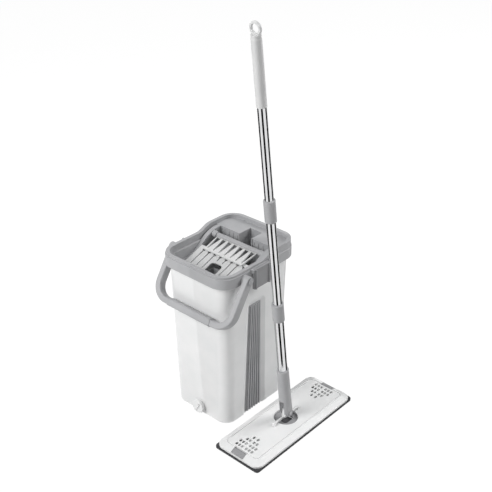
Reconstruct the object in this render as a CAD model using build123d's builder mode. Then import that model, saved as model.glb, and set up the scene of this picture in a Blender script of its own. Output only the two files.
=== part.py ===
"""Flat mop and the bucket that washes and squeezes it.

All sizes are in millimetres. +Z is up, the origin is the middle of the bucket's
base, -Y is the bucket's front (drain plug side), and the mop stands at +X.
"""

import os
from math import atan2, cos, degrees, radians, sin

from build123d import *

# Bucket tub
base_x = 176
base_y = 212
base_r = 31
base_edge_r = 4
shoulder_x = 190
shoulder_y = 231
shoulder_r = 32
shoulder_z = 393
neck_flare = 6
neck_flare_h = 8
neck_h = 12
tub_wall = 2.6
tub_floor = 4

# Ribbed trim panels in the two sides of the tub
panel_y = -9
recess_depth = 5.5
recess_bevel = 14
panel_base_w = 57
panel_top_w = 39
panel_low = 4
panel_high = 308
panel_t = 1.6
panel_gap = 0.4
panel_corner_r = 3
panel_rib_n = 6
panel_rib_w = 3
panel_rib_h = 3.5

# Drain plug
drain_z = 22
drain_bore_r = 11
drain_boss_r = 16
drain_boss_h = 3.5
drain_seal_t = 1.6
drain_stem_gap = 0.3
drain_stem_l = 9
drain_cap_r = 18
drain_cap_t = 7
drain_grip_w = 5
drain_grip_h = 3

# Collar
collar_x = 212
collar_y = 253
collar_r = 42
collar_wall = 3
collar_low = 391
collar_flange_t = 3

# Side clips that hold the collar on the tub
clip_y = -9
clip_w = 56
clip_low = 365
clip_axis_z = 413
clip_barrel_r = 3
clip_t = 5
clip_gap = 0.4
clip_nib_w = 40
clip_nib_h = 5.6
clip_pin_r = 1.5
clip_ear_w = 4
catch_drop = 3
catch_high = shoulder_z - catch_drop
catch_h = 4
catch_reach = 5.5

# Carrying handle
handle_y = -64
handle_z = 402
handle_hang = 58
handle_arm = 120
handle_t = 15
handle_w = 22
handle_edge_r = 3
handle_bend_r = 38
handle_gap = 0.4
handle_eye_r = 11
handle_boss_h = 3
handle_pin_r = 4
handle_pin_head_r = 6.5
handle_pin_head_t = 2
grip_l = 134
grip_t = 18.4
grip_w = 25
grip_edge_r = 5

# Wringer insert
rim_x = 208
rim_y = 249
rim_r = 40
rim_w = 9
rim_wall = 2.5
rim_front_h = 5
rim_back_h = 18
rim_rise_y = -6
rim_top_y = 44
skirt_low = 402
apron_x = 182
apron_y = 223
apron_r = 28
apron_wall = 2
apron_low = 370
deck_top = 424.5
deck_t = 3
deck_y = 58
chute_x = 160
chute_wall = 2.5
chute_lip_out = 8.5
chute_lip_y = -84
chute_end_y = -102
chute_front_z = 378
chute_depth = 38
chute_low = chute_front_z - chute_depth
chute_front_y = -66
chute_back_y = 52
pole_notch_w = 38
pole_notch_l = 38
wall_rib_n = 4
wall_rib_pitch = 14
wall_rib_w = 2
wall_rib_h = 1.4

# Drain ramp in the insert
ramp_t = 3
ramp_back_y = -8
ramp_gap = 0.3
ramp_slope = 19
ramp_slit_n = 8
ramp_slit_pitch = 18
ramp_slit_w = 2.6
ramp_slit_l = 50
ramp_window_w = 8
ramp_window_l = 5
ramp_notch_w = 34
ramp_notch_l = 30
ramp_notch_r = 9
ramp_rail_h = 3
ramp_rail_w = 4

# Squeeze comb, hinged on its round bar
comb_y = 33
comb_z = 413
comb_bar_r = 6.6
comb_bar_l = 134
comb_pin_r = 4
comb_pin_gap = 0.08
comb_boss_r = 8
comb_end_gap = 0.5
comb_reach = 55.5
comb_slope = 14
comb_front_w = 118
comb_t = 4
comb_slit_n = 7
comb_slit_pitch = 18
comb_slit_back_w = 12.2
comb_slit_front_w = 2.5
comb_slit_start = 7.5
comb_slit_end = 50

# Mop head
mop_x = 183
plate_l = 352
plate_w = 130
plate_r = 20
plate_edge_z = 13
pad_margin_l = 3
pad_margin_w = 2
pad_l = plate_l + 2 * pad_margin_l
pad_w = plate_w + 2 * pad_margin_w
pad_t = 8
pad_r = 9
panel_inset_l = 14
panel_inset_w = 14.5
panel_l = plate_l - 2 * panel_inset_l
panel_w = plate_w - 2 * panel_inset_w
panel_r = 12
plate_top_z = 20
plate_skin = 3
groove_inset = 1.4
groove_w = 2.6
groove_depth = 1.8
well_inset_l = 12
well_inset_w = 5.5
well_l = panel_l - 2 * well_inset_l
well_w = panel_w - 2 * well_inset_w
hook_strip_l = well_l - 10
hook_strip_w = 18
hook_strip_t = 2
hook_strip_pitch = 60
vent_l = 9.8
vent_w = 6.2
vent_inset = 28
vent_pitch_x = 8.7
vent_mid_gap = 12.2
vent_pitch_y = 13.6
vent_rows = (3, 3, 2, 1)

# Swivel between head and pole
seat_r = 29
seat_t = 3
seat_top_z = 15
seat_gap = 0.3
seat_slot_l = 31
seat_slot_w = 26
hub_r = 34
swivel_z = 25
swivel_bar_r = 3.2
swivel_bar_l = 92
swivel_gap = 0.08
lug_l = 6
lug_w = 9.4
lug_mouth = 5
fork_z = 39.5
knuckle_w = 12
knuckle_r = 8.5
fork_pin_r = 3
fork_pin_gap = 0.08
fork_pin_head_r = 4.5
fork_pin_head_t = 1.6

# Pad tabs at the two ends of the head
tab_w = 36
tab_l = 15
tab_inset = 17
tab_t = 3.6
tab_z = 14.6
tab_barrel_r = 2
tab_pin_r = 1
tab_gap = 0.5

# Pole, measured along its own axis from the fork pin
pole_lean = 7.1
tube_lower_r = 11.2
tube_middle_r = 10.4
tube_upper_r = 9.6
tube_wall = 1
fit_gap = 0.05
ferrule_top_r = 14
ferrule_low_r = 15.6
ferrule_top = 131
ferrule_socket = 62
fork_slot_w = 13
fork_slot_top = 38
fork_prong_half = 13
fork_end_r = 11
coupling_wall = 2.4
coupling_web = 4
lower_coupling = (277.5, 323.5)
upper_coupling = (537, 588)
plug_neck_r = 6
plug_l = 24
pole_grip_low = 794.6
pole_grip_high = 931
pole_grip_r = 10.7
grip_end_t = 6
cap_stem_r = 8
cap_stem_l = 30
cap_flange_r = 10.2
cap_flange_l = 6.5
eye_s = 949
eye_r = 13.6
eye_bore_r = 9.4
eye_t = 6

neck_z = shoulder_z + neck_flare_h
tub_top = neck_z + neck_h
neck_x = shoulder_x + 2 * neck_flare
neck_y = shoulder_y + 2 * neck_flare
collar_top = tub_top + collar_flange_t
draft = degrees(atan2((shoulder_x - base_x) / 2, shoulder_z))
clip_axis_x = collar_x / 2 + clip_gap + clip_barrel_r
handle_in_x = collar_x / 2 + handle_boss_h + handle_gap
handle_mid_x = handle_in_x + handle_t / 2
drain_face_y = -(base_y / 2 + drain_boss_h)
plate_low_z = pad_t
tab_y = plate_l / 2 - tab_inset
vent_y = plate_l / 2 - vent_inset
recess_low = -6


def rounded(x, y, r, z):
    """Sketches a rounded rectangle on the level z."""
    with BuildSketch(Plane.XY.offset(z)) as outline:
        RectangleRounded(x, y, r)
    return outline.sketch


def tub_form(inset, bottom):
    """The tub's outside, or its inside when inset by the wall, from bottom up to the mouth."""
    rise = bottom / shoulder_z
    low_x = base_x + (shoulder_x - base_x) * rise
    low_y = base_y + (shoulder_y - base_y) * rise
    with BuildPart() as form:
        add(rounded(low_x - 2 * inset, low_y - 2 * inset, base_r - inset, bottom))
        add(rounded(shoulder_x - 2 * inset, shoulder_y - 2 * inset, shoulder_r - inset, shoulder_z))
        loft()
        add(rounded(shoulder_x - 2 * inset, shoulder_y - 2 * inset, shoulder_r - inset, shoulder_z))
        add(rounded(neck_x - 2 * inset, neck_y - 2 * inset, shoulder_r + neck_flare - inset, neck_z))
        loft()
        add(rounded(neck_x - 2 * inset, neck_y - 2 * inset, shoulder_r + neck_flare - inset, neck_z))
        extrude(amount=neck_h)
    return form.part


def side_plane(depth):
    """A plane in the tub's right side wall, that far under its surface: x runs along +Y, y up the wall."""
    out = (cos(radians(draft)), 0, -sin(radians(draft)))
    return Plane(origin=(base_x / 2, panel_y, 0), x_dir=(0, 1, 0), z_dir=out).offset(-depth)


def side_recess(grow, depth):
    """The bevelled recess for a trim panel, open at the bottom edge and grown all round by grow."""
    with BuildPart() as recess:
        for level, spread in ((-1, recess_bevel), (depth, 0)):
            half_low = panel_base_w / 2 + spread + grow
            half_high = panel_top_w / 2 + spread + grow
            top = panel_high + 1 + spread + grow
            with BuildSketch(side_plane(level)) as outline:
                with BuildLine():
                    Polyline(
                        (-half_low, recess_low - grow),
                        (half_low, recess_low - grow),
                        (half_high, top),
                        (-half_high, top),
                        close=True,
                    )
                make_face()
                fillet(outline.vertices().group_by(Axis.Z)[-1], panel_corner_r + spread + grow)
        loft()
    return recess.part


# Tub: one drafted shell with a flared mouth, side recesses, drain boss and clip catches.
with BuildPart() as cavity:
    add(tub_form(tub_wall, tub_floor))
    right_liner = side_recess(tub_wall, recess_depth + tub_wall)
    add(right_liner, mode=Mode.SUBTRACT)
    add(mirror(right_liner, about=Plane.YZ), mode=Mode.SUBTRACT)

with BuildPart() as bucket_tub:
    add(tub_form(0, 0))
    fillet(bucket_tub.edges().group_by(Axis.Z)[0], base_edge_r)
    right_recess = side_recess(0, recess_depth)
    add(right_recess, mode=Mode.SUBTRACT)
    add(mirror(right_recess, about=Plane.YZ), mode=Mode.SUBTRACT)
    with BuildSketch(Plane.XZ.offset(base_y / 2 - tub_wall / 2)):
        with Locations((0, drain_z)):
            Circle(drain_boss_r)
    extrude(amount=drain_boss_h + tub_wall / 2)
    catch_x = shoulder_x / 2 + catch_reach
    with Locations((0, clip_y, catch_high - catch_h / 2)):
        Box(2 * catch_x, clip_nib_w, catch_h)
    add(cavity.part, mode=Mode.SUBTRACT)
    with BuildSketch(Plane.XZ.offset(base_y / 2 - 4 * tub_wall)):
        with Locations((0, drain_z)):
            Circle(drain_bore_r)
    extrude(amount=drain_boss_h + 5 * tub_wall, mode=Mode.SUBTRACT)
bucket_tub.part.label = "bucket_tub"

# Trim panel: a thin drafted plate with upright ribs.
with BuildPart() as side_panel_right:
    with BuildSketch(side_plane(recess_depth)) as plate:
        half_low = panel_base_w / 2 - panel_gap
        half_high = panel_top_w / 2 - panel_gap
        with BuildLine():
            Polyline(
                (-half_low, panel_low),
                (half_low, panel_low),
                (half_high, panel_high),
                (-half_high, panel_high),
                close=True,
            )
        make_face()
        fillet(plate.vertices().group_by(Axis.Z)[-1], panel_corner_r)
    extrude(amount=panel_t)
    with BuildSketch(side_plane(recess_depth - panel_t)):
        for rib in range(panel_rib_n):
            share = (rib + 0.5) / panel_rib_n - 0.5
            low = share * (panel_base_w - 2 * panel_corner_r)
            high = share * (panel_top_w - 2 * panel_corner_r)
            with BuildLine():
                Polyline(
                    (low - panel_rib_w / 2, panel_low),
                    (low + panel_rib_w / 2, panel_low),
                    (high + panel_rib_w / 2, panel_high - panel_corner_r),
                    (high - panel_rib_w / 2, panel_high - panel_corner_r),
                    close=True,
                )
            make_face()
    extrude(amount=panel_rib_h)
side_panel_right.part.label = "side_panel_right"

with BuildPart() as side_panel_left:
    add(mirror(side_panel_right.part, about=Plane.YZ))
side_panel_left.part.label = "side_panel_left"

# Drain plug: a cap with a finger bar, a stem in the drain hole and a seal under the cap.
with BuildPart() as drain_seal:
    with BuildSketch(Plane.XZ.offset(-drain_face_y)):
        with Locations((0, drain_z)):
            Circle(drain_boss_r)
            Circle(drain_bore_r, mode=Mode.SUBTRACT)
    extrude(amount=drain_seal_t)
drain_seal.part.label = "drain_seal"

with BuildPart() as drain_plug:
    cap_back = -drain_face_y + drain_seal_t
    with BuildSketch(Plane.XZ.offset(cap_back)):
        with Locations((0, drain_z)):
            Circle(drain_cap_r)
    extrude(amount=drain_cap_t)
    fillet(drain_plug.edges().group_by(Axis.Y)[0], drain_cap_t / 3)
    with BuildSketch(Plane.XZ.offset(cap_back)):
        with Locations((0, drain_z)):
            Circle(drain_bore_r - drain_stem_gap)
    extrude(amount=-drain_stem_l)
    with BuildSketch(Plane.XZ.offset(cap_back + drain_cap_t)):
        with Locations((0, drain_z)):
            SlotOverall(1.5 * drain_cap_r, drain_grip_w, rotation=60)
    extrude(amount=drain_grip_h)
drain_plug.part.label = "drain_plug"

# Collar: a skirt and a top flange that sits on the tub's mouth, with handle bosses and clip ears.
with BuildPart() as bucket_collar:
    add(rounded(collar_x, collar_y, collar_r, collar_low))
    extrude(amount=collar_top - collar_low)
    fillet(bucket_collar.edges().group_by(Axis.Z)[-1], collar_wall / 2)
    add(rounded(collar_x - 2 * collar_wall, collar_y - 2 * collar_wall, collar_r - collar_wall, collar_low))
    extrude(amount=tub_top - collar_low, mode=Mode.SUBTRACT)
    mouth_r = shoulder_r + neck_flare - tub_wall
    add(rounded(neck_x - 2 * tub_wall, neck_y - 2 * tub_wall, mouth_r, collar_low))
    extrude(amount=collar_top - collar_low, mode=Mode.SUBTRACT)
    for side in (-1, 1):
        with Locations((side * (collar_x / 2 + handle_boss_h / 2 - collar_wall / 4), handle_y, handle_z)):
            Cylinder(handle_eye_r, handle_boss_h + collar_wall / 2, rotation=(0, 90, 0))
        ear_x = collar_x / 2 - collar_wall / 2
        ear_out = clip_axis_x + clip_barrel_r
        for end in (-1, 1):
            ear_y = clip_y + end * (clip_w / 2 + clip_gap + clip_ear_w / 2)
            with Locations((side * (ear_x + ear_out) / 2, ear_y, clip_axis_z)):
                Box(ear_out - ear_x, clip_ear_w, 3 * clip_barrel_r)
        with Locations((side * clip_axis_x, clip_y, clip_axis_z)):
            Cylinder(
                clip_pin_r,
                clip_w + 2 * clip_gap + 2 * clip_ear_w,
                rotation=(90, 0, 0),
                mode=Mode.SUBTRACT,
            )
        with Locations((side * collar_x / 2, handle_y, handle_z)):
            Cylinder(handle_pin_r, 4 * handle_boss_h, rotation=(0, 90, 0), mode=Mode.SUBTRACT)
bucket_collar.part.label = "bucket_collar"

# Side clip: hinged at its top on a pin, with a nib under the tub's catch.
with BuildPart() as clip_right:
    with Locations((clip_axis_x, clip_y, clip_axis_z)):
        Cylinder(clip_barrel_r, clip_w, rotation=(90, 0, 0))
    clip_in_x = clip_axis_x + clip_barrel_r - clip_t
    with Locations((clip_in_x + clip_t / 2, clip_y, (clip_low + clip_axis_z) / 2)):
        Box(clip_t, clip_w, clip_axis_z - clip_low)
    fillet(clip_right.edges().filter_by(Axis.X).group_by(Axis.Z)[0], 3 * clip_gap)
    for end in (-1, 1):
        with Locations((clip_in_x + clip_t, clip_y + end * clip_w * 0.4, (clip_low + clip_axis_z) / 2)):
            Cylinder(clip_barrel_r, clip_axis_z - clip_low)
    nib_in_x = shoulder_x / 2 + 4 * clip_gap + catch_reach / 4
    with Locations(((nib_in_x + clip_in_x + 1) / 2, clip_y, catch_high - catch_h - clip_gap - clip_nib_h / 2)):
        Box(clip_in_x + 1 - nib_in_x, clip_nib_w, clip_nib_h)
    with Locations((clip_axis_x, clip_y, clip_axis_z)):
        Cylinder(clip_pin_r + fit_gap, clip_w, rotation=(90, 0, 0), mode=Mode.SUBTRACT)
clip_right.part.label = "clip_right"

with BuildPart() as clip_left:
    add(mirror(clip_right.part, about=Plane.YZ))
clip_left.part.label = "clip_left"

with BuildPart() as clip_pins:
    for side in (-1, 1):
        with Locations((side * clip_axis_x, clip_y, clip_axis_z)):
            Cylinder(clip_pin_r, clip_w + 2 * clip_gap + 2 * clip_ear_w, rotation=(90, 0, 0))
clip_pins.part.label = "clip_pins"

# Carrying handle: one bent bar with round eyes, turning on two pins.
hang = radians(handle_hang)
handle_plane = Plane(
    origin=(0, handle_y, handle_z),
    x_dir=(1, 0, 0),
    z_dir=(0, sin(hang), -cos(hang)),
)
with BuildPart() as handle_bail:
    with BuildLine(handle_plane) as bail_path:
        FilletPolyline(
            (-handle_mid_x, 0),
            (-handle_mid_x, handle_arm),
            (handle_mid_x, handle_arm),
            (handle_mid_x, 0),
            radius=handle_bend_r,
        )
    path = bail_path.line
    with BuildSketch(Plane(origin=path @ 0, x_dir=(1, 0, 0), z_dir=path % 0)):
        RectangleRounded(handle_t, handle_w, handle_edge_r)
    sweep(path=path)
    for side in (-1, 1):
        with Locations((side * handle_mid_x, handle_y, handle_z)):
            Cylinder(handle_eye_r, handle_t, rotation=(0, 90, 0))
            Cylinder(handle_pin_r + fit_gap, handle_t, rotation=(0, 90, 0), mode=Mode.SUBTRACT)
handle_bail.part.label = "handle_bail"

with BuildPart() as handle_grip:
    grip_plane = Plane(
        origin=handle_plane.from_local_coords((0, handle_arm, 0)),
        x_dir=handle_plane.y_dir,
        z_dir=(1, 0, 0),
    )
    with BuildSketch(grip_plane):
        RectangleRounded(grip_t, grip_w, grip_edge_r)
        RectangleRounded(
            handle_t + 2 * fit_gap, handle_w + 2 * fit_gap, handle_edge_r, mode=Mode.SUBTRACT
        )
    extrude(amount=grip_l / 2, both=True)
handle_grip.part.label = "handle_grip"

with BuildPart() as handle_pins:
    pin_out = handle_in_x + handle_t + handle_gap
    pin_in = collar_x / 2 - collar_wall
    for side in (-1, 1):
        with Locations((side * (pin_in + pin_out) / 2, handle_y, handle_z)):
            Cylinder(handle_pin_r, pin_out - pin_in, rotation=(0, 90, 0))
        with Locations((side * (pin_out + handle_pin_head_t / 2), handle_y, handle_z)):
            Cylinder(handle_pin_head_r, handle_pin_head_t, rotation=(0, 90, 0))
handle_pins.part.label = "handle_pins"


def rim_ring(outer_inset, inner_inset, lower):
    """The insert's rim between two insets, with a top that rises to the back and lies lower by that much."""
    front = collar_top + rim_front_h - lower
    back = collar_top + rim_back_h - lower
    with BuildPart() as ring:
        with BuildSketch(Plane.XY.offset(collar_top)):
            RectangleRounded(rim_x - 2 * outer_inset, rim_y - 2 * outer_inset, rim_r - outer_inset)
            RectangleRounded(
                rim_x - 2 * inner_inset,
                rim_y - 2 * inner_inset,
                rim_r - inner_inset,
                mode=Mode.SUBTRACT,
            )
        extrude(amount=rim_back_h)
        with BuildSketch(Plane.YZ):
            with BuildLine():
                Polyline((-rim_y, front), (rim_rise_y, front))
                Spline((rim_rise_y, front), (rim_top_y, back), tangents=((1, 0), (1, 0)))
                Polyline(
                    (rim_top_y, back),
                    (rim_y, back),
                    (rim_y, back + rim_back_h),
                    (-rim_y, back + rim_back_h),
                    (-rim_y, front),
                )
            make_face()
        extrude(amount=rim_x, both=True, mode=Mode.SUBTRACT)
    return ring.part


def chute_side(start_y, drop):
    """Sketches the side of the chute from start_y back to the deck: a strip under its top edge, or down to its foot."""
    with BuildSketch(Plane.YZ) as outline:
        with BuildLine():
            for level in (0, drop) if drop else (0,):
                front = chute_front_z - level
                back = deck_top - level
                Line((start_y, front), (chute_front_y, front))
                Spline((chute_front_y, front), (chute_back_y, back), tangents=((1, 0), (1, 0)))
                Line((chute_back_y, back), (deck_y, back))
            if drop:
                Line((deck_y, deck_top), (deck_y, deck_top - drop))
                Line((start_y, chute_front_z), (start_y, chute_front_z - drop))
            else:
                Polyline(
                    (deck_y, deck_top),
                    (deck_y, chute_low),
                    (start_y, chute_low),
                    (start_y, chute_front_z),
                )
        make_face()
    return outline.sketch


# The ramp's top runs down to the front edge of the chute.
ramp_front_top = chute_front_z + ramp_t / 4
ramp_len = (ramp_back_y - chute_front_y) / cos(radians(ramp_slope))
ramp_plane = Plane(
    origin=(0, chute_front_y, ramp_front_top),
    x_dir=(1, 0, 0),
    z_dir=(0, -sin(radians(ramp_slope)), cos(radians(ramp_slope))),
)

# Wringer frame: a rim on the collar, a back deck, the chute's walls and the two pole channels.
with BuildPart() as wringer_frame:
    add(rim_ring(0, rim_w, 0))
    add(rim_ring(rim_wall, rim_w - rim_wall, rim_wall), mode=Mode.SUBTRACT)
    skirt_x = rim_x - 2 * rim_w + 2 * rim_wall
    skirt_y = rim_y - 2 * rim_w + 2 * rim_wall
    with BuildSketch(Plane.XY.offset(skirt_low)):
        RectangleRounded(skirt_x, skirt_y, rim_r - rim_w + rim_wall)
        RectangleRounded(rim_x - 2 * rim_w, rim_y - 2 * rim_w, rim_r - rim_w, mode=Mode.SUBTRACT)
    extrude(amount=collar_top - skirt_low + rim_wall)
    inner_x = apron_x - 2 * apron_wall
    inner_y = apron_y - 2 * apron_wall
    with BuildSketch(Plane.XY.offset(skirt_low)):
        RectangleRounded(skirt_x, skirt_y, rim_r - rim_w + rim_wall)
        RectangleRounded(inner_x, inner_y, apron_r - apron_wall, mode=Mode.SUBTRACT)
    extrude(amount=rim_wall)
    with BuildSketch(Plane.XY.offset(apron_low)):
        RectangleRounded(apron_x, apron_y, apron_r)
        RectangleRounded(inner_x, inner_y, apron_r - apron_wall, mode=Mode.SUBTRACT)
    extrude(amount=skirt_low + rim_wall / 2 - apron_low)
    with BuildSketch(Plane.XY.offset(deck_top - deck_t)):
        RectangleRounded(skirt_x - rim_wall, skirt_y - rim_wall, rim_r - rim_w)
        with Locations((0, deck_y - rim_y)):
            Rectangle(rim_x, 2 * rim_y, mode=Mode.SUBTRACT)
    extrude(amount=deck_t)
    for side in (-1, 1):
        lip_w = chute_lip_out + chute_wall
        for strip, width in (
            (chute_side(chute_end_y, None), chute_wall),
            (chute_side(chute_lip_y, chute_wall), lip_w),
        ):
            upright = extrude(strip, width / 2, both=True, mode=Mode.PRIVATE)
            add(upright.moved(Location((side * (chute_x + width) / 2, 0, 0))))
    chute_out = chute_x + 2 * chute_wall
    wall_h = deck_top - chute_low
    with Locations((0, deck_y + chute_wall / 2, chute_low + wall_h / 2)):
        Box(chute_out, chute_wall, wall_h)
    with Locations((0, deck_y + pole_notch_l / 2, chute_low + wall_h / 2)):
        Box(pole_notch_w + 2 * chute_wall, pole_notch_l + 2 * chute_wall, wall_h)
    front_h = chute_front_z - 2 * ramp_t - chute_low
    with Locations((0, chute_front_y + chute_wall / 2, chute_low + front_h / 2)):
        Box(chute_out, chute_wall, front_h)
    with Locations((0, chute_front_y + ramp_notch_l / 2, chute_low + front_h / 2)):
        Box(ramp_notch_w + 2 * chute_wall, ramp_notch_l + 2 * chute_wall, front_h)
    with Locations((0, deck_y + pole_notch_l / 2 - chute_wall, chute_low + wall_h / 2)):
        Box(pole_notch_w, pole_notch_l + 2 * chute_wall, wall_h, mode=Mode.SUBTRACT)
    with Locations((0, chute_front_y + ramp_notch_l / 2 - chute_wall, chute_low + front_h / 2)):
        Box(ramp_notch_w, ramp_notch_l + 2 * chute_wall, front_h, mode=Mode.SUBTRACT)
    for side in (-1, 1):
        for rib in range(wall_rib_n):
            rib_x = side * (pole_notch_w / 2 + wall_rib_pitch * (rib + 0.5))
            with Locations((rib_x, deck_y - wall_rib_h / 2, chute_low + wall_h / 2 - deck_t)):
                Box(wall_rib_w, wall_rib_h, wall_h - 2 * deck_t)
        boss_in = comb_bar_l / 2 + comb_end_gap
        boss_out = chute_x / 2 + chute_wall / 2
        with Locations((side * (boss_in + boss_out) / 2, comb_y, comb_z)):
            Cylinder(comb_boss_r, boss_out - boss_in, rotation=(0, 90, 0))
        with Locations((side * (boss_in + boss_out) / 2, comb_y, comb_z)):
            Cylinder(comb_pin_r + comb_pin_gap, 2 * (boss_out - boss_in), rotation=(0, 90, 0), mode=Mode.SUBTRACT)
        with BuildSketch(ramp_plane.offset(-ramp_t)):
            with Locations((side * (chute_x / 2 - ramp_rail_w / 2 + chute_wall / 4), ramp_len / 2)):
                Rectangle(ramp_rail_w + chute_wall / 2, ramp_len)
        extrude(amount=-ramp_rail_h)
wringer_frame.part.label = "wringer_frame"

# Drain ramp: a slatted plate on rails between the chute's walls, notched for the pole.
with BuildPart() as ramp_grate:
    with BuildSketch(ramp_plane):
        with Locations((0, ramp_len / 2)):
            Rectangle(chute_x - 2 * ramp_gap, ramp_len)
        for slit in range(ramp_slit_n):
            slit_x = (slit - (ramp_slit_n - 1) / 2) * ramp_slit_pitch
            behind_notch = abs(slit_x) < ramp_notch_w / 2 + ramp_slit_w
            slit_low = ramp_notch_l + 2 * ramp_t if behind_notch else ramp_t
            with Locations((slit_x, (slit_low + ramp_t + ramp_slit_l) / 2)):
                Rectangle(ramp_slit_w, ramp_t + ramp_slit_l - slit_low, mode=Mode.SUBTRACT)
            with Locations((slit_x, ramp_t + ramp_slit_l - ramp_window_l / 2)):
                Rectangle(ramp_window_w, ramp_window_l, mode=Mode.SUBTRACT)
        with Locations((0, ramp_notch_l / 2 - ramp_notch_r)):
            RectangleRounded(ramp_notch_w, ramp_notch_l + 2 * ramp_notch_r, ramp_notch_r, mode=Mode.SUBTRACT)
    extrude(amount=-ramp_t)
ramp_grate.part.label = "ramp_grate"

# Squeeze comb: a round bar with a slotted apron that slopes to the front.
slope = radians(comb_slope)
comb_plane = Plane(
    origin=(0, comb_y, comb_z),
    x_dir=(1, 0, 0),
    z_dir=(0, -sin(slope), cos(slope)),
)
with BuildPart() as squeeze_comb:
    with Locations((0, comb_y, comb_z)):
        Cylinder(comb_bar_r, comb_bar_l, rotation=(0, 90, 0))
    fillet(squeeze_comb.edges(), comb_bar_r / 4)
    with Locations((0, comb_y, comb_z)):
        Cylinder(comb_pin_r, chute_x + chute_wall, rotation=(0, 90, 0))
    with BuildSketch(comb_plane.offset(-comb_t / 2)):
        back_half = comb_bar_l / 2 - comb_bar_r / 2
        with BuildLine():
            Polyline(
                (-back_half, 0),
                (back_half, 0),
                (comb_front_w / 2, -comb_reach),
                (-comb_front_w / 2, -comb_reach),
                close=True,
            )
        make_face()
        for slit in range(comb_slit_n):
            slit_x = (slit - (comb_slit_n - 1) / 2) * comb_slit_pitch
            with BuildLine():
                Polyline(
                    (slit_x - comb_slit_back_w / 2, -comb_slit_start),
                    (slit_x + comb_slit_back_w / 2, -comb_slit_start),
                    (slit_x + comb_slit_front_w / 2, -comb_slit_end),
                    (slit_x - comb_slit_front_w / 2, -comb_slit_end),
                    close=True,
                )
            make_face(mode=Mode.SUBTRACT)
    extrude(amount=comb_t)
squeeze_comb.part.label = "squeeze_comb"

# Mop head: microfibre pad, hook strips, vented top plate and the grey swivel seat.
with BuildPart() as mop_pad:
    with BuildSketch():
        with Locations((mop_x, 0)):
            RectangleRounded(pad_w, pad_l, pad_r)
    extrude(amount=pad_t)
mop_pad.part.label = "mop_pad"

with BuildPart() as hook_strips:
    for side in (-1, 1):
        with Locations((mop_x + side * hook_strip_pitch / 2, 0, plate_low_z + hook_strip_t / 2)):
            Box(hook_strip_w, hook_strip_l, hook_strip_t)
hook_strips.part.label = "hook_strips"


def plate_form():
    """The plate's outside: an upright edge, a sloping border and the raised panel."""
    with BuildPart() as form:
        with BuildSketch(Plane.XY.offset(plate_low_z)):
            with Locations((mop_x, 0)):
                RectangleRounded(plate_w, plate_l, plate_r)
        extrude(amount=plate_edge_z - plate_low_z)
        with BuildSketch(Plane.XY.offset(plate_edge_z)):
            with Locations((mop_x, 0)):
                RectangleRounded(plate_w, plate_l, plate_r)
        with BuildSketch(Plane.XY.offset(plate_top_z)):
            with Locations((mop_x, 0)):
                RectangleRounded(panel_w, panel_l, panel_r)
        loft()
    return form.part


with BuildPart() as mop_plate:
    add(plate_form())
    with BuildSketch(Plane.XY.offset(plate_top_z)):
        with Locations((mop_x, 0)):
            line_w = panel_w - 2 * groove_inset
            line_l = panel_l - 2 * groove_inset
            RectangleRounded(line_w, line_l, panel_r - groove_inset)
            RectangleRounded(
                line_w - 2 * groove_w,
                line_l - 2 * groove_w,
                panel_r - groove_inset - groove_w,
                mode=Mode.SUBTRACT,
            )
    extrude(amount=-groove_depth, mode=Mode.SUBTRACT)
    with BuildSketch(Plane.XY.offset(plate_low_z + hook_strip_t)):
        with Locations((mop_x, 0)):
            RectangleRounded(well_w, well_l, panel_r)
            Circle(hub_r, mode=Mode.SUBTRACT)
    extrude(amount=plate_top_z - plate_skin - plate_low_z - hook_strip_t, mode=Mode.SUBTRACT)
    for side in (-1, 1):
        with Locations((mop_x + side * hook_strip_pitch / 2, 0, plate_low_z + hook_strip_t / 2)):
            Box(hook_strip_w, hook_strip_l, hook_strip_t, mode=Mode.SUBTRACT)
    with BuildSketch(Plane.XY.offset(seat_top_z - seat_t)):
        with Locations((mop_x, 0)):
            Circle(seat_r + seat_gap)
    extrude(amount=plate_top_z, mode=Mode.SUBTRACT)
    with BuildSketch(Plane.XY.offset(plate_low_z)):
        with Locations((mop_x, 0)):
            RectangleRounded(seat_slot_w, seat_slot_l, seat_slot_w / 4)
    extrude(amount=plate_top_z, mode=Mode.SUBTRACT)
    with BuildSketch(Plane.XY.offset(plate_top_z)):
        for end, side in ((-1, -1), (-1, 1), (1, -1), (1, 1)):
            for row, count in enumerate(vent_rows):
                row_y = end * (vent_y - row * vent_pitch_y)
                for slot in range(count):
                    slot_x = mop_x + side * (vent_mid_gap / 2 + slot * vent_pitch_x)
                    with Locations((slot_x, row_y)):
                        SlotOverall(vent_l, vent_w, rotation=90)
    extrude(amount=-2 * plate_skin, mode=Mode.SUBTRACT)
    for end in (-1, 1):
        lug_y = end * (swivel_bar_l / 2 - lug_l / 2)
        lug_top = swivel_z + swivel_bar_r / 2
        with Locations((mop_x, lug_y, (plate_top_z - plate_skin / 2 + lug_top) / 2)):
            Box(lug_w, lug_l, lug_top - plate_top_z + plate_skin / 2)
        with Locations((mop_x, lug_y, swivel_z)):
            Cylinder(swivel_bar_r + swivel_gap, lug_l, rotation=(90, 0, 0), mode=Mode.SUBTRACT)
        with Locations((mop_x, lug_y, swivel_z + swivel_bar_r)):
            Box(lug_mouth, lug_l, 2 * swivel_bar_r, mode=Mode.SUBTRACT)
        tab_back = tab_y - tab_barrel_r - tab_gap
        with Locations((mop_x, end * (tab_back + tab_l), tab_z - tab_barrel_r - tab_gap + plate_top_z / 2)):
            Box(tab_w + 2 * tab_gap, 2 * tab_l, plate_top_z, mode=Mode.SUBTRACT)
        with Locations((mop_x, end * tab_y, tab_z)):
            Cylinder(tab_pin_r, tab_w + 8 * tab_pin_r, rotation=(0, 90, 0), mode=Mode.SUBTRACT)
mop_plate.part.label = "mop_plate"

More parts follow.
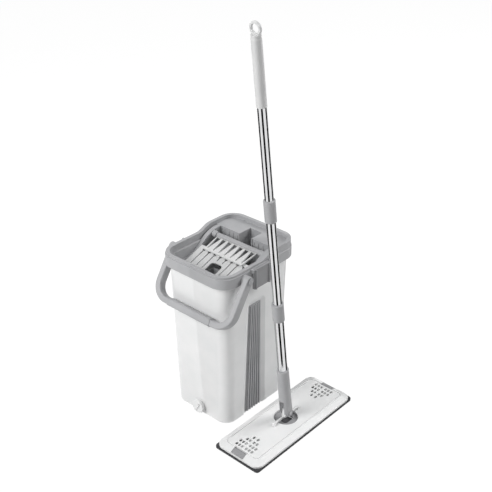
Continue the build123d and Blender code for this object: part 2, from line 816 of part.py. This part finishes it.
with BuildPart() as swivel_seat:
    with BuildSketch(Plane.XY.offset(seat_top_z - seat_t)):
        with Locations((mop_x, 0)):
            Circle(seat_r)
            RectangleRounded(seat_slot_w, seat_slot_l, seat_slot_w / 4, mode=Mode.SUBTRACT)
    extrude(amount=seat_t)
swivel_seat.part.label = "swivel_seat"


def pad_tab(end):
    """The tab at one end of the head, on a pin across its inner edge."""
    with BuildPart() as tab:
        with Locations((mop_x, end * tab_y, tab_z)):
            Cylinder(tab_barrel_r, tab_w, rotation=(0, 90, 0))
        with Locations((mop_x, end * (tab_y + tab_l / 2), tab_z)):
            Box(tab_w, tab_l, tab_t)
        fillet(tab.edges().filter_by(Axis.Z).group_by(Axis.Y)[0 if end < 0 else -1], tab_t)
        add(plate_form(), mode=Mode.INTERSECT)
        with Locations((mop_x, end * tab_y, tab_z)):
            Cylinder(tab_pin_r + fit_gap, tab_w, rotation=(0, 90, 0), mode=Mode.SUBTRACT)
    return tab.part


with BuildPart() as tab_near:
    add(pad_tab(-1))
tab_near.part.label = "tab_near"

with BuildPart() as tab_far:
    add(pad_tab(1))
tab_far.part.label = "tab_far"

with BuildPart() as tab_pins:
    for end in (-1, 1):
        with Locations((mop_x, end * tab_y, tab_z)):
            Cylinder(tab_pin_r, tab_w + 8 * tab_pin_r, rotation=(0, 90, 0))
tab_pins.part.label = "tab_pins"

# Swivel cross: a bar along the head that carries the knuckle for the pole's fork.
with BuildPart() as swivel_cross:
    with Locations((mop_x, 0, swivel_z)):
        Cylinder(swivel_bar_r, swivel_bar_l, rotation=(90, 0, 0))
    with Locations((mop_x, 0, (swivel_z + fork_z) / 2)):
        Box(knuckle_w, 2 * knuckle_r, fork_z - swivel_z)
    with Locations((mop_x, 0, fork_z)):
        Cylinder(knuckle_r, knuckle_w, rotation=(0, 90, 0))
        Cylinder(fork_pin_r + fork_pin_gap, knuckle_w, rotation=(0, 90, 0), mode=Mode.SUBTRACT)
swivel_cross.part.label = "swivel_cross"

with BuildPart() as fork_pin:
    with Locations((mop_x, 0, fork_z)):
        Cylinder(fork_pin_r, 2 * fork_prong_half, rotation=(0, 90, 0))
    for side in (-1, 1):
        with Locations((mop_x + side * (fork_prong_half + fork_pin_head_t / 2), 0, fork_z)):
            Cylinder(fork_pin_head_r, fork_pin_head_t, rotation=(0, 90, 0))
fork_pin.part.label = "fork_pin"

# Pole pieces are built on planes across the leaning pole.
lean = radians(pole_lean)
pole_plane = Plane(origin=(mop_x, 0, fork_z), x_dir=(1, 0, 0), z_dir=(0, -sin(lean), cos(lean)))

with BuildPart() as ferrule:
    with BuildSketch(pole_plane.offset(-fork_end_r)):
        Circle(ferrule_low_r)
    with BuildSketch(pole_plane.offset(ferrule_top)):
        Circle(ferrule_top_r)
    loft()
    prong_side = Plane(origin=pole_plane.origin, x_dir=pole_plane.y_dir, z_dir=(1, 0, 0))
    with BuildSketch(prong_side):
        with Locations((0, (fork_slot_top - fork_end_r) / 2)):
            Rectangle(4 * ferrule_low_r, fork_slot_top + fork_end_r)
    extrude(amount=fork_slot_w / 2, both=True, mode=Mode.SUBTRACT)
    for side in (-1, 1):
        with BuildSketch(prong_side.offset(side * (fork_prong_half + ferrule_low_r / 2))):
            with Locations((0, fork_slot_top / 2 - fork_end_r)):
                Rectangle(4 * ferrule_low_r, fork_slot_top)
        extrude(amount=ferrule_low_r / 2, both=True, mode=Mode.SUBTRACT)
    with BuildSketch(prong_side):
        with Locations((0, -fork_end_r)):
            Rectangle(4 * ferrule_low_r, 2 * fork_end_r)
        with Locations((0, 0)):
            Circle(fork_end_r, mode=Mode.SUBTRACT)
    extrude(amount=2 * ferrule_low_r, both=True, mode=Mode.SUBTRACT)
    with BuildSketch(prong_side):
        Circle(fork_pin_r)
    extrude(amount=2 * ferrule_low_r, both=True, mode=Mode.SUBTRACT)
    with BuildSketch(pole_plane.offset(ferrule_socket)):
        Circle(tube_lower_r + fit_gap)
    extrude(amount=ferrule_top, mode=Mode.SUBTRACT)
ferrule.part.label = "ferrule"


def tube(low, high, radius):
    """A length of the steel pole."""
    with BuildPart() as length:
        with BuildSketch(pole_plane.offset(low)):
            Circle(radius)
            Circle(radius - tube_wall, mode=Mode.SUBTRACT)
        extrude(amount=high - low)
    return length.part


def web_start(ends):
    """The low face of the web in the middle of a coupling."""
    return (sum(ends) - coupling_web) / 2


def coupling(ends, below_r, above_r):
    """A sleeve over two tube ends, with a web between them."""
    low, high = ends
    web_low = web_start(ends)
    with BuildPart() as sleeve:
        with BuildSketch(pole_plane.offset(low)):
            Circle(below_r + coupling_wall)
        extrude(amount=high - low)
        fillet(sleeve.edges().filter_by(GeomType.CIRCLE), coupling_web / 4)
        for start, length, bore in (
            (low, high - low, plug_neck_r),
            (low, web_low - low, below_r),
            (web_low + coupling_web, high - web_low, above_r),
        ):
            with BuildSketch(pole_plane.offset(start)):
                Circle(bore + fit_gap)
            extrude(amount=length, mode=Mode.SUBTRACT)
    return sleeve.part


lower_web = web_start(lower_coupling)
upper_web = web_start(upper_coupling)

with BuildPart() as tube_lower:
    add(tube(ferrule_socket, lower_web, tube_lower_r))
tube_lower.part.label = "tube_lower"

with BuildPart() as tube_middle:
    add(tube(lower_web + coupling_web, upper_web, tube_middle_r))
tube_middle.part.label = "tube_middle"

with BuildPart() as tube_upper:
    add(tube(upper_web + coupling_web, pole_grip_high - grip_end_t, tube_upper_r))
tube_upper.part.label = "tube_upper"

with BuildPart() as coupling_lower:
    add(coupling(lower_coupling, tube_lower_r, tube_middle_r))
coupling_lower.part.label = "coupling_lower"

with BuildPart() as coupling_upper:
    add(coupling(upper_coupling, tube_middle_r, tube_upper_r))
coupling_upper.part.label = "coupling_upper"

# Screw plugs inside the tube ends, joined by a neck through each coupling's web.
with BuildPart() as screw_plugs:
    for web, below_r, above_r in (
        (lower_web, tube_lower_r, tube_middle_r),
        (upper_web, tube_middle_r, tube_upper_r),
    ):
        for start, length, radius in ((web, -plug_l, below_r), (web + coupling_web, plug_l, above_r)):
            with BuildSketch(pole_plane.offset(start)):
                Circle(radius - tube_wall - fit_gap)
            extrude(amount=length)
        with BuildSketch(pole_plane.offset(web)):
            Circle(plug_neck_r)
        extrude(amount=coupling_web)
screw_plugs.part.label = "screw_plugs"

with BuildPart() as pole_grip:
    with BuildSketch(pole_plane.offset(pole_grip_low)):
        Circle(pole_grip_r)
    extrude(amount=pole_grip_high - pole_grip_low)
    fillet(pole_grip.edges().sort_by(Axis.Z)[-1], grip_end_t / 5)
    fillet(pole_grip.edges().sort_by(Axis.Z)[0], grip_end_t / 10)
    with BuildSketch(pole_plane.offset(pole_grip_low)):
        Circle(tube_upper_r + fit_gap)
    extrude(amount=pole_grip_high - grip_end_t - pole_grip_low, mode=Mode.SUBTRACT)
    with BuildSketch(pole_plane.offset(pole_grip_low)):
        Circle(cap_stem_r + fit_gap)
    extrude(amount=pole_grip_high - pole_grip_low, mode=Mode.SUBTRACT)
pole_grip.part.label = "pole_grip"

# Hanging cap: a stem in the grip, a flange on its end and a round eye.
with BuildPart() as hang_cap:
    eye_plane = Plane(
        origin=pole_plane.from_local_coords((0, 0, eye_s)),
        x_dir=(1, 0, 0),
        z_dir=pole_plane.y_dir,
    )
    with BuildSketch(eye_plane):
        Circle(eye_r)
    extrude(amount=eye_t / 2, both=True)
    fillet(hang_cap.edges().filter_by(GeomType.CIRCLE), eye_t / 5)
    with BuildSketch(pole_plane.offset(pole_grip_high - cap_stem_l)):
        Circle(cap_stem_r)
    extrude(amount=cap_stem_l)
    with BuildSketch(pole_plane.offset(pole_grip_high)):
        Circle(cap_flange_r)
    extrude(amount=cap_flange_l)
    with BuildSketch(eye_plane):
        Circle(eye_bore_r)
    extrude(amount=eye_t, both=True, mode=Mode.SUBTRACT)
hang_cap.part.label = "hang_cap"

os.makedirs("parts", exist_ok=True)
for piece in (
    bucket_tub,
    bucket_collar,
    side_panel_right,
    side_panel_left,
    drain_plug,
    drain_seal,
    clip_right,
    clip_left,
    clip_pins,
    handle_bail,
    handle_grip,
    handle_pins,
    wringer_frame,
    ramp_grate,
    squeeze_comb,
    mop_pad,
    hook_strips,
    mop_plate,
    swivel_seat,
    tab_near,
    tab_far,
    tab_pins,
    swivel_cross,
    fork_pin,
    ferrule,
    tube_lower,
    tube_middle,
    tube_upper,
    coupling_lower,
    coupling_upper,
    screw_plugs,
    pole_grip,
    hang_cap,
):
    export_step(piece.part, f"parts/{piece.part.label}.step")
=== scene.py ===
"""Flat mop and bucket with wringer: finishes, pad pile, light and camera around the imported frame."""

import math
import random

import bmesh
import bpy
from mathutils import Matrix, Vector


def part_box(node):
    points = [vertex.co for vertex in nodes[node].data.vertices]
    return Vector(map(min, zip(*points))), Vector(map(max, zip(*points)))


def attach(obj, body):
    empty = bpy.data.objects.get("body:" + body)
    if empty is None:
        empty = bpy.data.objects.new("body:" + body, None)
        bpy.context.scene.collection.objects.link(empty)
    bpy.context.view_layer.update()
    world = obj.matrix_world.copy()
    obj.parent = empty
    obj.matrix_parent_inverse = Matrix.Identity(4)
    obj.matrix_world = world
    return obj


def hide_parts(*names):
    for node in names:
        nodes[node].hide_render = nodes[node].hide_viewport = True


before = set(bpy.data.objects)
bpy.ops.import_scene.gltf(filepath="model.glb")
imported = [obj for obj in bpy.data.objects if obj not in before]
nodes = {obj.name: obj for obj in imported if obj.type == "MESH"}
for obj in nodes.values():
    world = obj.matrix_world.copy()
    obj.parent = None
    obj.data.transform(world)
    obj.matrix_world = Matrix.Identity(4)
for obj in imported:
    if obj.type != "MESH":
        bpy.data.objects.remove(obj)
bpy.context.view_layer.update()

MM = 0.001
POLE_LEAN = 7.1
scene = bpy.context.scene
random.seed(11)


def linear(hex_colour):
    """An sRGB hex colour as linear RGBA."""
    parts = [int(hex_colour[i : i + 2], 16) / 255 for i in (1, 3, 5)]
    return [p / 12.92 if p <= 0.04045 else ((p + 0.055) / 1.055) ** 2.4 for p in parts] + [1]


def per_mm(size_mm):
    """The texture scale that gives a pattern of this size in object coordinates."""
    return 1 / (size_mm * MM)


def add(tree, kind, inputs=None, ramp=(), **settings):
    """Adds a shader node. An input is a value or another node's output; ramp is (place, colour) pairs."""
    made = tree.nodes.new("ShaderNode" + kind)
    for name, value in settings.items():
        setattr(made, name, value)
    for stop, (place, colour) in zip(made.color_ramp.elements if ramp else (), ramp):
        stop.position = place
        stop.color = linear(colour)
    for name, value in (inputs or {}).items():
        if isinstance(value, bpy.types.NodeSocket):
            tree.links.new(value, made.inputs[name])
        else:
            made.inputs[name].default_value = value
    return made


def new_material(name):
    """An empty node material, as the material, its tree and its surface socket."""
    material = bpy.data.materials.new(name)
    material.use_nodes = True
    material.node_tree.nodes.clear()
    out = add(material.node_tree, "OutputMaterial")
    return material, material.node_tree, out.inputs["Surface"]


# Sizes of the cloudy patches in the finishes, in mm: melt flow and rubbed spots in plastic,
# streaks and smears on drawn steel, and uneven dye in fibre.
FLOW_MM = 45
RUB_MM = 14
STREAK_MM = 160
SMEAR_MM = 30
DYE_MM = 9


def moulded_plastic(name, light, dark, roughness, grain_mm, grain_depth_mm, ior=1.49, bar=None):
    """Injection-moulded plastic: satin, a little cloudy from the melt's flow, with a mould's fine grain.

    The real grain is about 0.3 mm. It is drawn coarser so that it shows in the render. A bar along X
    in another colour is given as the y and z of its axis and its radius, in mm, and that colour.
    """
    material, tree, surface = new_material(name)
    place = add(tree, "TexCoord").outputs["Object"]
    flow = add(tree, "TexNoise", {"Vector": place, "Scale": per_mm(FLOW_MM), "Detail": 3})
    tone = add(tree, "ValToRGB", {"Fac": flow.outputs["Fac"]}, [(0.32, dark), (0.68, light)])
    colour = tone.outputs["Color"]
    if bar:
        axis_y, axis_z, radius, bar_colour = bar
        axis = (0, axis_y * MM, axis_z * MM)
        offset = add(tree, "VectorMath", {0: place, 1: axis}, operation="SUBTRACT")
        across = add(tree, "VectorMath", {0: offset.outputs[0], 1: (0, 1, 1)}, operation="MULTIPLY")
        reach = add(tree, "VectorMath", {0: across.outputs[0]}, operation="LENGTH")
        inside = add(tree, "Math", {0: reach.outputs["Value"], 1: radius * MM}, operation="LESS_THAN")
        mixed = add(
            tree,
            "MixRGB",
            {"Fac": inside.outputs[0], "Color1": colour, "Color2": linear(bar_colour)},
        )
        colour = mixed.outputs[0]
    rub = add(tree, "TexNoise", {"Vector": place, "Scale": per_mm(RUB_MM), "Detail": 4})
    satin = add(
        tree,
        "MapRange",
        {
            "Value": rub.outputs["Fac"],
            "From Min": 0.3,
            "From Max": 0.7,
            "To Min": roughness - 0.05,
            "To Max": roughness + 0.07,
        },
    )
    grain = add(tree, "TexNoise", {"Vector": place, "Scale": per_mm(grain_mm), "Detail": 2})
    bump = add(
        tree,
        "Bump",
        {"Height": grain.outputs["Fac"], "Distance": grain_depth_mm * MM, "Strength": 0.5},
    )
    shader = add(
        tree,
        "BsdfPrincipled",
        {
            "Base Color": colour,
            "Roughness": satin.outputs["Result"],
            "Normal": bump.outputs["Normal"],
            "IOR": ior,
        },
    )
    tree.links.new(shader.outputs["BSDF"], surface)
    return material


def drawn_steel(name, light, dark, roughness, line_mm):
    """Drawn steel: a bright metal with faint lines along the pole from the die, and soft smears."""
    material, tree, surface = new_material(name)
    place = add(tree, "TexCoord").outputs["Object"]
    along = add(
        tree,
        "Mapping",
        {
            "Vector": place,
            "Rotation": (math.radians(-POLE_LEAN), 0, 0),
            "Scale": (per_mm(line_mm), per_mm(line_mm), per_mm(STREAK_MM)),
        },
    )
    lines = add(tree, "TexNoise", {"Vector": along.outputs["Vector"], "Scale": 1, "Detail": 3})
    polish = add(
        tree,
        "MapRange",
        {
            "Value": lines.outputs["Fac"],
            "From Min": 0.3,
            "From Max": 0.7,
            "To Min": roughness * 0.7,
            "To Max": roughness * 1.4,
        },
    )
    smear = add(tree, "TexNoise", {"Vector": place, "Scale": per_mm(SMEAR_MM), "Detail": 2})
    tone = add(tree, "ValToRGB", {"Fac": smear.outputs["Fac"]}, [(0.3, dark), (0.7, light)])
    shader = add(
        tree,
        "BsdfPrincipled",
        {"Base Color": tone.outputs["Color"], "Metallic": 1, "Roughness": polish.outputs["Result"]},
    )
    tree.links.new(shader.outputs["BSDF"], surface)
    return material


def fibre(name, light, dark, thread_mm, sheen):
    """Synthetic fibre: dull, a little lighter at grazing angles, with fine threads and an uneven dye."""
    material, tree, surface = new_material(name)
    place = add(tree, "TexCoord").outputs["Object"]
    dye = add(tree, "TexNoise", {"Vector": place, "Scale": per_mm(DYE_MM), "Detail": 5})
    tone = add(tree, "ValToRGB", {"Fac": dye.outputs["Fac"]}, [(0.3, dark), (0.7, light)])
    threads = add(tree, "TexNoise", {"Vector": place, "Scale": per_mm(thread_mm), "Detail": 3})
    bump = add(
        tree,
        "Bump",
        {"Height": threads.outputs["Fac"], "Distance": thread_mm * MM, "Strength": 0.6},
    )
    shader = add(
        tree,
        "BsdfPrincipled",
        {
            "Base Color": tone.outputs["Color"],
            "Roughness": 0.95,
            "Normal": bump.outputs["Normal"],
            "Sheen Weight": sheen,
            "Sheen Roughness": 0.5,
            "IOR": 1.45,
        },
    )
    tree.links.new(shader.outputs["BSDF"], surface)
    return material


# White polypropylene with a mould's light grain: tub, plug, head plate and swivel cross.
white_plastic = moulded_plastic("polypropylene_white_moulded", "#EEEEEE", "#E9EAEA", 0.34, 1.1, 0.03)
# Grey polypropylene, matt: collar, handle, insert, ferrule and couplings.
grey_plastic = moulded_plastic("polypropylene_grey_moulded", "#B0B0B2", "#A9AAAC", 0.5, 1.3, 0.05)
# The same grey made darker as painted shade, for the clips' faces turned from the light: clips, swivel
# seat and pad tabs.
painted_shade_grey_plastic = moulded_plastic("polypropylene_grey_painted_shade", "#98989A", "#929294", 0.5, 1.3, 0.05)
# Pale grey polypropylene: the drain ramp, the pole's grip and its hanging cap.
pale_plastic = moulded_plastic("polypropylene_pale_grey_moulded", "#DADADA", "#D3D4D4", 0.42, 1.2, 0.025)
# Two-shot polypropylene: the comb, with pale fingers on a grey bar.
comb_plastic = moulded_plastic(
    "polypropylene_two_shot_moulded", "#DADADA", "#D3D4D4", 0.42, 1.2, 0.04, bar=(33, 413, 7.2, "#A9A9AB")
)
# Darker grey polypropylene with a stronger grain: the ribbed side panels.
panel_plastic = moulded_plastic("polypropylene_dark_grey_moulded", "#B4B4B6", "#ABACAE", 0.44, 1.4, 0.07)
# Black moulded rubber: the plug's seal.
seal_rubber = moulded_plastic("rubber_black_moulded", "#2A2A2B", "#222223", 0.62, 1.5, 0.06, ior=1.52)
# Polished stainless tube: a mirror with faint lines along the tube.
pole_steel = drawn_steel("stainless_tube_polished", "#E2E2E3", "#D6D7D8", 0.09, 0.8)
# Plain drawn wire: the small hinge pins.
pin_steel = drawn_steel("steel_wire_drawn", "#BDBDBE", "#A9AAAB", 0.28, 0.5)
# Looped microfibre in dark grey: the pad.
pad_fibre = fibre("microfibre_grey_looped", "#4A4A4D", "#37373A", 0.7, 0.25)
# Overlocked polyester thread: the pad's edge.
edge_fibre = fibre("polyester_thread_overlocked", "#3C3C3F", "#2C2C2E", 0.4, 0.15)
# Nylon hook tape: the strips under the plate.
hook_fibre = fibre("nylon_hook_tape_woven", "#39393B", "#262628", 0.9, 0.1)

FINISHES = {
    white_plastic: ["bucket_tub", "drain_plug", "mop_plate", "swivel_cross"],
    grey_plastic: [
        "bucket_collar",
        "handle_bail",
        "handle_grip",
        "handle_pins",
        "wringer_frame",
        "ferrule",
        "coupling_lower",
        "coupling_upper",
        "screw_plugs",
    ],
    # The darker grey on these parts is painted shade.
    painted_shade_grey_plastic: ["clip_right", "clip_left", "swivel_seat", "tab_near", "tab_far"],
    pale_plastic: ["ramp_grate", "pole_grip", "hang_cap"],
    comb_plastic: ["squeeze_comb"],
    panel_plastic: ["side_panel_right", "side_panel_left"],
    seal_rubber: ["drain_seal"],
    pole_steel: ["tube_lower", "tube_middle", "tube_upper"],
    pin_steel: ["clip_pins", "tab_pins", "fork_pin"],
    hook_fibre: ["hook_strips"],
}
for finish, names in FINISHES.items():
    for name in names:
        nodes[name].data.materials.clear()
        nodes[name].data.materials.append(finish)

# The microfibre pad: a soft core with rounded sides, thread loops round it and under it, and a sewn edge.
PAD_CORNER = 9 * MM
PAD_STEP = 2.4 * MM
UNDER_SHARE = 0.22
# The core's section, from the top round to the underside: inset in mm and share of the pad's height.
PAD_SECTION = [
    (16, 0.98),
    (3.4, 0.98),
    (2.2, 0.92),
    (1.7, 0.8),
    (1.6, 0.58),
    (1.9, 0.38),
    (3.0, 0.25),
    (16, UNDER_SHARE),
]
LOOP_ROWS = (0.32, 0.53, 0.75)
LOOP_WIDTH = 2.6 * MM
LOOP_HEIGHT = 1.25 * MM
LOOP_THREAD = 0.5 * MM
LOOP_SINK = 0.5 * MM
LOOP_PITCH = 5 * MM
LOOP_RINGS = 7
LOOP_CORNERS = 5
CORE_SIDE = 1.7 * MM
UNDER_MARGIN = 4 * MM
EDGE_SHARE = 0.9
EDGE_CORNERS = 8
EDGE_INSET = 1.3 * MM
EDGE_RADIUS = 0.9 * MM
STITCH_PITCH = 2 * MM

pad_low, pad_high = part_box("mop_pad")
pad_centre = (pad_low + pad_high) / 2
pad_height = pad_high.z - pad_low.z


def pad_outline(inset, step):
    """Points round the pad's rounded outline, drawn in by inset, each with its outward direction."""
    half_x = (pad_high.x - pad_low.x) / 2
    half_y = (pad_high.y - pad_low.y) / 2
    corner = max(PAD_CORNER - inset, MM)
    reach_x = half_x - inset - corner
    reach_y = half_y - inset - corner
    arc_steps = max(4, round(PAD_CORNER * math.pi / 2 / step))
    side_steps = [round(2 * half_y / step), round(2 * half_x / step)]
    points = []
    for quarter in range(4):
        sign_x = 1 if quarter in (0, 3) else -1
        sign_y = 1 if quarter in (0, 1) else -1
        middle = Vector((pad_centre.x + sign_x * reach_x, pad_centre.y + sign_y * reach_y, 0))
        for k in range(arc_steps + 1):
            angle = (quarter + k / arc_steps) * math.pi / 2
            out = Vector((math.cos(angle), math.sin(angle), 0))
            points.append((middle + corner * out, out))
        start = points[-1][0]
        turn = (quarter + 1) % 4
        next_x = 1 if turn in (0, 3) else -1
        next_y = 1 if turn in (0, 1) else -1
        next_middle = Vector((pad_centre.x + next_x * reach_x, pad_centre.y + next_y * reach_y, 0))
        goal = next_middle + corner * out
        count = side_steps[(quarter + 1) % 2]
        points += [(start.lerp(goal, k / count), out) for k in range(1, count)]
    return points


def bridge(mesh, ring_a, ring_b, material=0):
    """Quads between two closed rings of vertices."""
    count = len(ring_a)
    for k in range(count):
        face = mesh.faces.new((ring_a[k], ring_a[(k + 1) % count], ring_b[(k + 1) % count], ring_b[k]))
        face.material_index = material
        face.smooth = True


def thread_loop(mesh, root, out, along):
    """One loop of pile: a half ring of thread standing on root."""
    side = out.cross(along)
    rings = []
    for k in range(LOOP_RINGS):
        angle = math.pi * k / (LOOP_RINGS - 1)
        middle = root + along * (LOOP_WIDTH / 2 * math.cos(angle)) + out * (LOOP_HEIGHT * math.sin(angle))
        radial = (along * math.cos(angle) + out * math.sin(angle)).normalized()
        ring = []
        for corner in range(LOOP_CORNERS):
            turn = 2 * math.pi * corner / LOOP_CORNERS
            offset = side * math.cos(turn) + radial * math.sin(turn)
            ring.append(mesh.verts.new(middle + LOOP_THREAD * offset))
        rings.append(ring)
    for first, second in zip(rings, rings[1:]):
        bridge(mesh, first, second)
    mesh.faces.new(rings[0])
    mesh.faces.new(rings[-1])


def build_pad():
    """The pad's mesh: core, loops on the sides and underside, and the overlocked edge."""
    mesh = bmesh.new()
    rings = []
    for inset, share in PAD_SECTION:
        level = Vector((0, 0, pad_low.z + share * pad_height))
        rings.append([mesh.verts.new(p + level) for p, out in pad_outline(inset * MM, PAD_STEP)])
    for first, second in zip(rings, rings[1:]):
        bridge(mesh, first, second)
    mesh.faces.new(rings[0])
    mesh.faces.new(rings[-1])
    for share in LOOP_ROWS:
        level = Vector((0, 0, pad_low.z + share * pad_height))
        for point, out in pad_outline(CORE_SIDE + LOOP_SINK, PAD_STEP):
            along = Vector((-out.y, out.x, random.uniform(-0.7, 0.7))).normalized()
            shift = along * random.uniform(-0.6, 0.6) * MM
            thread_loop(mesh, point + level + shift, out, along)
    under = pad_low.z + UNDER_SHARE * pad_height + LOOP_SINK / 2
    count_x = round((pad_high.x - pad_low.x - 2 * UNDER_MARGIN) / LOOP_PITCH)
    count_y = round((pad_high.y - pad_low.y - 2 * UNDER_MARGIN) / LOOP_PITCH)
    for i in range(count_x + 1):
        for j in range(count_y + 1):
            x = pad_low.x + UNDER_MARGIN + (i + random.uniform(-0.15, 0.15)) * LOOP_PITCH
            y = pad_low.y + UNDER_MARGIN + (j + random.uniform(-0.15, 0.15)) * LOOP_PITCH
            angle = random.uniform(0, math.pi)
            along = Vector((math.cos(angle), math.sin(angle), 0))
            thread_loop(mesh, Vector((x, y, under)), Vector((0, 0, -1)), along)
    edge_level = Vector((0, 0, pad_low.z + EDGE_SHARE * pad_height))
    edge_rings = []
    travelled = 0
    last = None
    for point, out in pad_outline(EDGE_INSET, STITCH_PITCH / 4):
        travelled += (point - last).length if last else 0
        last = point
        thick = EDGE_RADIUS * (0.82 + 0.18 * abs(math.sin(math.pi * travelled / STITCH_PITCH)))
        ring = []
        for corner in range(EDGE_CORNERS):
            turn = 2 * math.pi * corner / EDGE_CORNERS
            offset = out * math.cos(turn) + Vector((0, 0, math.sin(turn)))
            ring.append(mesh.verts.new(point + edge_level + thick * offset))
        edge_rings.append(ring)
    for first, second in zip(edge_rings, edge_rings[1:] + edge_rings[:1]):
        bridge(mesh, first, second, material=1)
    bmesh.ops.recalc_face_normals(mesh, faces=mesh.faces)
    data = bpy.data.meshes.new("pad_pile")
    mesh.to_mesh(data)
    mesh.free()
    data.materials.append(pad_fibre)
    data.materials.append(edge_fibre)
    made = bpy.data.objects.new("pad_pile", data)
    scene.collection.objects.link(made)
    return made


pad_pile = build_pad()
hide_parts("mop_pad")
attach(pad_pile, "mop_head")


# The stage: a white paper floor, dark cards that only mirrors see, soft lamps and an even sky.
FLOOR_RADIUS = 6
FLOOR_SIDES = 64
FLOOR_DROP = 0.4 * MM


def background_rays(tree):
    """1 for camera, mirror and glass rays, which see the plain white background."""
    path = add(tree, "LightPath").outputs
    rays = path["Is Camera Ray"]
    for kind in ("Is Glossy Ray", "Is Transmission Ray"):
        rays = add(tree, "Math", {0: rays, 1: path[kind]}, operation="MAXIMUM").outputs[0]
    return rays


def floor_paper():
    """White seamless paper: matt, and shown white apart from the object's faint shadow."""
    material, tree, surface = new_material("paper_white_matt")
    place = add(tree, "TexCoord").outputs["Object"]
    fleck = add(tree, "TexNoise", {"Vector": place, "Scale": per_mm(4), "Detail": 2})
    tone = add(tree, "ValToRGB", {"Fac": fleck.outputs["Fac"]}, [(0.3, "#E6E6E6"), (0.7, "#EAEAEA")])
    lit = add(tree, "BsdfDiffuse", {"Color": tone.outputs["Color"]})
    shade = add(tree, "BsdfDiffuse", {"Color": linear("#5C5C5C")})
    glow = add(tree, "Emission", {"Color": (1, 1, 1, 1), "Strength": 0.95})
    shown = add(tree, "AddShader", {0: shade.outputs[0], 1: glow.outputs[0]})
    mixed = add(tree, "MixShader", {0: background_rays(tree), 1: lit.outputs[0], 2: shown.outputs[0]})
    tree.links.new(mixed.outputs[0], surface)
    return material


def mesh_object(name, points, faces, material):
    """A mesh object from points and faces."""
    data = bpy.data.meshes.new(name)
    data.from_pydata(points, [], faces)
    data.materials.append(material)
    made = bpy.data.objects.new(name, data)
    scene.collection.objects.link(made)
    return made


floor_turns = [2 * math.pi * k / FLOOR_SIDES for k in range(FLOOR_SIDES)]
round_floor = [(FLOOR_RADIUS * math.cos(turn), FLOOR_RADIUS * math.sin(turn), 0) for turn in floor_turns]
floor = mesh_object("floor", round_floor, [tuple(range(FLOOR_SIDES))], floor_paper())
floor.location.z = -FLOOR_DROP

CAMERA_PLACE = Vector((1.2295, -1.2967, 1.3950))
CAMERA_TARGET = Vector((0.0163, 0.0411, 0.4102))
CAMERA_LENS = 64.41
CAMERA_SENSOR = 36

# Dark studio cards stand round the pole. They give the polished tube its dark edges and dark middle line.
CARD_RADIUS = 0.2
CARD_HEIGHT = 1.0
CARD_STEP = 4
# Where the cards stand, in degrees round the pole from the side that faces the camera.
CARD_SPANS = [(-22, 22), (82, 138), (158, 202), (222, 278)]

card_paint, card_tree, card_surface = new_material("card_black_matt")
card_shader = add(card_tree, "BsdfDiffuse", {"Color": linear("#0C0C0C")})
card_tree.links.new(card_shader.outputs[0], card_surface)
pole_foot = Vector((pad_centre.x, pad_centre.y, 0))
pole_run = Vector((0, -math.tan(math.radians(POLE_LEAN)), 1)) * CARD_HEIGHT
towards_camera = math.atan2(CAMERA_PLACE.y - pole_foot.y, CAMERA_PLACE.x - pole_foot.x)
for first, last in CARD_SPANS:
    points = []
    for degree in range(first, last + 1, CARD_STEP):
        angle = towards_camera + math.radians(degree)
        foot = pole_foot + CARD_RADIUS * Vector((math.cos(angle), math.sin(angle), 0))
        points += [foot, foot + pole_run]
    faces = [(k, k + 2, k + 3, k + 1) for k in range(0, len(points) - 2, 2)]
    card = mesh_object(f"card_{first}_{last}", points, faces, card_paint)
    card.visible_camera = False
    card.visible_diffuse = False
    card.visible_transmission = False
    card.visible_shadow = False

# Lamps: name, direction from the object, distance, size in metres and power in watts.
LAMPS = [
    ("key", (-0.22, -0.8, 0.56), 3.6, 2.2, 97),
    ("top", (0.1, 0.15, 1.0), 3.2, 2.2, 14),
    ("back", (0.42, 0.75, 0.55), 3.6, 1.9, 78),
]
LAMP_TARGET = Vector((0.08, 0, 0.35))
for name, direction, distance, size, power in LAMPS:
    lamp = bpy.data.lights.new(name, "AREA")
    lamp.shape = "DISK"
    lamp.size = size
    lamp.energy = power
    holder = bpy.data.objects.new(name, lamp)
    towards = Vector(direction).normalized()
    holder.location = LAMP_TARGET + towards * distance
    holder.rotation_euler = towards.to_track_quat("Z", "Y").to_euler()
    scene.collection.objects.link(holder)

world = bpy.data.worlds.new("studio")
scene.world = world
world.use_nodes = True
world.node_tree.nodes.clear()
sky_tree = world.node_tree
even_sky = add(sky_tree, "Background", {"Color": (1, 1, 1, 1), "Strength": 0.18})
plain_white = add(sky_tree, "Background", {"Color": (1, 1, 1, 1), "Strength": 1})
sky_mix = {0: background_rays(sky_tree), 1: even_sky.outputs[0], 2: plain_white.outputs[0]}
sky = add(sky_tree, "MixShader", sky_mix)
add(sky_tree, "OutputWorld", {"Surface": sky.outputs[0]})

camera_data = bpy.data.cameras.new("camera")
camera_data.lens = CAMERA_LENS
camera_data.sensor_width = CAMERA_SENSOR
camera = bpy.data.objects.new("camera", camera_data)
camera.location = CAMERA_PLACE
camera.rotation_euler = (CAMERA_PLACE - CAMERA_TARGET).to_track_quat("Z", "Y").to_euler()
scene.collection.objects.link(camera)
scene.camera = camera
scene.view_settings.view_transform = "Standard"

bpy.context.view_layer.update()
